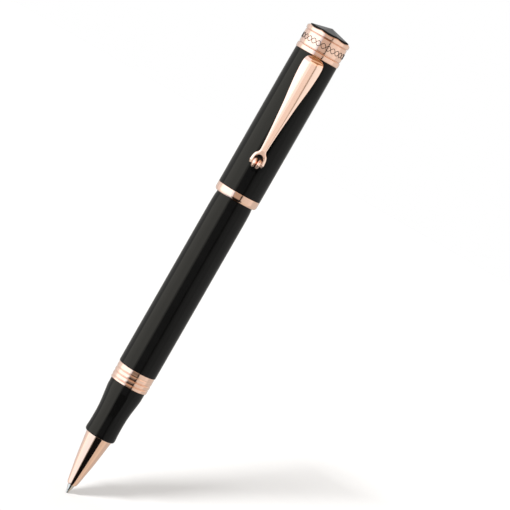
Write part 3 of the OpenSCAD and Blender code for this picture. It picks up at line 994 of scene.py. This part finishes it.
cool, warm = (0.70, 0.82, 1.0), (1.0, 0.90, 0.80)
lamps = [
    ("left_ring", -18, -92, -0.08, 0.04, 0.78, turned, cool),
    ("left_high", -18, -92, 0.04, 0.5, 0.88, turned, cool),
    ("left_low", -27, -92, -1.0, -0.08, 0.52, turned, (0.40, 0.65, 0.95)),
    ("left_far", -92, -126, -1.0, 0.5, 0.52, turned, (1.0, 0.98, 1.0)),
    ("left_rim", -126, -160, -1.0, 0.5, 0.36, turned, (1.0, 0.95, 0.95)),
    ("right_near", 26.5, 92, -0.1, 0.5, 0.58, turned, warm),
    ("right_near_high", 29, 92, 0.1, 0.5, 0.13, turned, white),
    ("right_far", 92, 150, -0.1, 0.5, 0.38, turned, warm),
    ("right_far_high", 92, 150, 0.1, 0.5, 0.11, turned, warm),
    ("right_near_low", 38.5, 92, -1.0, -0.1, 0.52, turned, (1.0, 0.82, 0.62)),
    ("right_far_low", 92, 150, -1.0, -0.1, 0.34, turned, (1.0, 0.85, 0.70)),
    ("front_ring", -16, 20, -0.07, 0.03, 0.165, turned, (1.0, 0.72, 0.50)),
    ("front_lip", -17, 20, 0.03, 0.11, 0.43, turned, (1.0, 0.76, 0.56)),
    ("front_crown", -18, 23, 0.11, 0.50, 0.58, turned, (1.0, 0.83, 0.71)),
    ("clip_left", -25, -66, 0.0, 0.8, 1.05, casting, cool),
    ("clip_left_far", -66, -106, 0.0, 0.8, 1.05, casting, cool),
    ("clip_soft", -26, -7, 0.03, 0.40, 0.30, casting, cool),
    ("clip_front", -26, 24, 0.06, 0.40, 0.92, casting, (1.0, 0.93, 0.86)),
    ("clip_low", -26, 24, -0.06, 0.06, 0.64, casting, (1.0, 0.88, 0.78)),
    ("clip_line", 24, 32, 0.0, 0.40, 0.40, casting, (1.0, 0.85, 0.70)),
    ("clip_right", 32, 92, 0.0, 0.40, 0.92, casting, (0.95, 0.97, 0.96)),
    ("clip_right_far", 92, 150, 0.0, 0.40, 0.40, casting, warm),
    ("clip_top", -26, 90, 0.40, 0.80, 0.42, casting, (1.0, 0.88, 0.76))]
for number, row in enumerate(lamps):
    metal_lamp(number, *row)
print(len(lamps), "lamps for the metal")

# %% [markdown]
# ## Floor and backdrop
#
# The pen stands on a plain pale floor with a white surround. A curved paper sweep would
# join the two, but it would also show in the metal. So the floor is flat and hidden from
# reflections, and a huge white dome that only the camera sees closes the view.

# %% Floor and backdrop
floor_size, dome_mm, dome_steps = 2.4, 3200.0, 24
floor_mat = finish("pale_floor", [(0.80, 0.80, 0.80), (0.815, 0.812, 0.808)], (0.6, 0.7),
                   patch=60, hair=(900, 900, 900), lift=2e-5)
bm = bmesh.new()
bmesh.ops.create_grid(bm, x_segments=8, y_segments=8, size=floor_size)
floor = finish_mesh("floor", bm)
floor.data.materials.append(floor_mat)
hide_from(floor, "glossy")
dome = lathe("backdrop", [(0.0, -dome_mm)]
             + [(dome_mm * math.sin(math.pi * k / dome_steps),
                 -dome_mm * math.cos(math.pi * k / dome_steps)) for k in range(1, dome_steps)]
             + [(0.0, dome_mm)], around=48)
dome.data.materials.append(glow("white_backdrop", 1.0))
hide_from(dome, "diffuse", "glossy", "transmission", "volume_scatter", "shadow")
print("dome", 2 * dome_mm * MM, "m across")

# %% [markdown]
# ## Sun and sky
#
# The shadow needs a light that comes from one side: a broad sun, low in front and a little
# to the left, so that the shadow runs away behind the pen and softens as it goes. The sky
# fills the shadow so that it stays a light grey. One big lamp could do both jobs, but then
# the shadow's depth and its softness could not be set apart.

# %% Sun and sky
world = bpy.context.scene.world or bpy.data.worlds.new("studio")
bpy.context.scene.world = world
world.use_nodes = True
sky = world.node_tree.nodes["Background"]
sky.inputs["Color"].default_value = (1.0, 0.978, 0.958, 1)
sky.inputs["Strength"].default_value = 0.82
shadow_way, sun_height = 71.5, 25.0
sun = bpy.data.lights.new("sun", "SUN")
sun.energy, sun.angle = 4.4, math.radians(6)
sun_holder = bpy.data.objects.new("sun", sun)
a, e = math.radians(shadow_way + 180), math.radians(sun_height)
toward_sun = Vector((math.cos(a) * math.cos(e), math.sin(a) * math.cos(e), math.sin(e)))
sun_holder.rotation_euler = toward_sun.to_track_quat("Z", "Y").to_euler()
hide_from(sun_holder, "glossy")
bpy.context.scene.collection.objects.link(sun_holder)
bpy.context.scene.view_settings.view_transform = "Standard"
print("sun", sun_height, "degrees high")

# %% [markdown]
# ## Camera
#
# A long lens from about 0.8 m, a little above the pen's middle, with the clip facing it.
# The pen is upright in its own frame, so the camera is rolled to make it lean as it does
# when it writes. Tilting the pen instead would break the frame that its joints live in.

# %% Camera
distance, azimuth, elevation, roll = 0.820, -2.0, 5.0, 29.915
beside, height = 0.01361, 0.09174
cam = bpy.data.cameras.new("camera")
cam.lens, cam.sensor_width = 191.8, 36.0
eye = bpy.data.objects.new("camera", cam)
a, e = math.radians(azimuth), math.radians(elevation)
backward = Vector((math.sin(a) * math.cos(e), -math.cos(a) * math.cos(e), math.sin(e)))
rightward = Vector((math.cos(a), math.sin(a), 0))
target = rightward * beside + Vector((0, 0, height))
upward = backward.cross(rightward)
turn = Matrix((rightward, upward, backward)).transposed() @ Matrix.Rotation(
    math.radians(roll), 3, "Z")
eye.matrix_world = Matrix.Translation(target + backward * distance) @ turn.to_4x4()
bpy.context.scene.collection.objects.link(eye)
bpy.context.scene.camera = eye
print("camera", distance, "m away, rolled", roll, "degrees")

# %% [markdown]
# ## Last update
#
# The finished meshes should fill the CAD's box and no more. Here the view layer is updated
# once more at the end.

# %% Update the view layer
bpy.context.view_layer.update()
